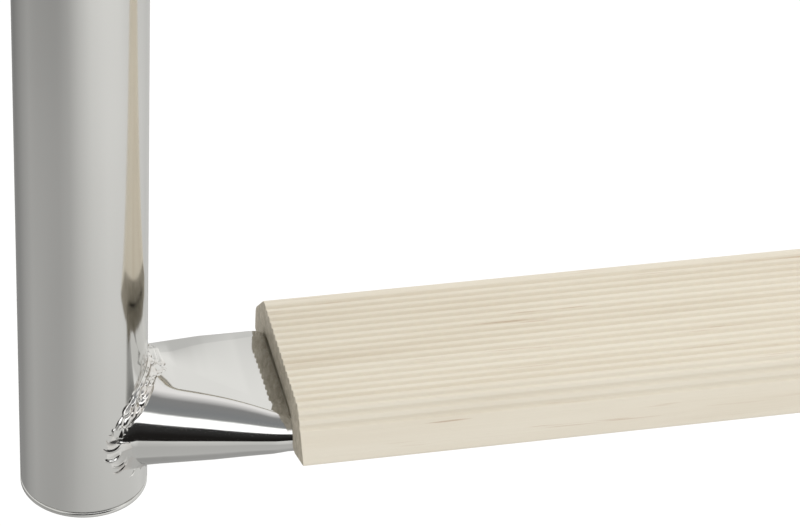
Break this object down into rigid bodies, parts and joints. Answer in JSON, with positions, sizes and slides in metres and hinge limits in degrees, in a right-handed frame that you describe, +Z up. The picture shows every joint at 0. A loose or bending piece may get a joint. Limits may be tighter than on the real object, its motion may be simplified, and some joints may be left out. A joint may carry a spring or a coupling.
{
  "type": "dock ladder",
  "caption": "Dock ladder of bent round tube: the stiles rise as handrails and turn down to round deck flanges; welded rungs are pressed flat under ribbed pale wooden treads.",
  "frame": {"origin": "underside of the left deck flange, at its centre", "axes": "+X along the rungs to the right stile, +Y from the climbing side on to the deck, +Z up"},
  "size_m": [0.5, 0.332, 2.0069],
  "materials": {
    "polished_tube": "polished, faint long draw lines",
    "end_cap": "satin",
    "deck_flange": "satin",
    "weld_bead": "bright rippled bead",
    "tread_wood": "pale, dry, ribbed, unvarnished"
  },
  "bodies": {
    "root": {"left_stile": "polished_tube", "left_end_cap": "end_cap", "left_deck_flange": "deck_flange", "left_flange_weld": "weld_bead", "right_stile": "polished_tube", "right_end_cap": "end_cap", "right_deck_flange": "deck_flange", "right_flange_weld": "weld_bead", "rung_1": "polished_tube", "tread_1": "tread_wood", "left_weld_1": "weld_bead", "right_weld_1": "weld_bead", "rung_2": "polished_tube", "tread_2": "tread_wood", "left_weld_2": "weld_bead", "right_weld_2": "weld_bead", "rung_3": "polished_tube", "tread_3": "tread_wood", "left_weld_3": "weld_bead", "right_weld_3": "weld_bead", "rung_4": "polished_tube", "tread_4": "tread_wood", "left_weld_4": "weld_bead", "right_weld_4": "weld_bead", "rung_5": "polished_tube", "tread_5": "tread_wood", "left_weld_5": "weld_bead", "right_weld_5": "weld_bead"}
  },
  "joints": []
}
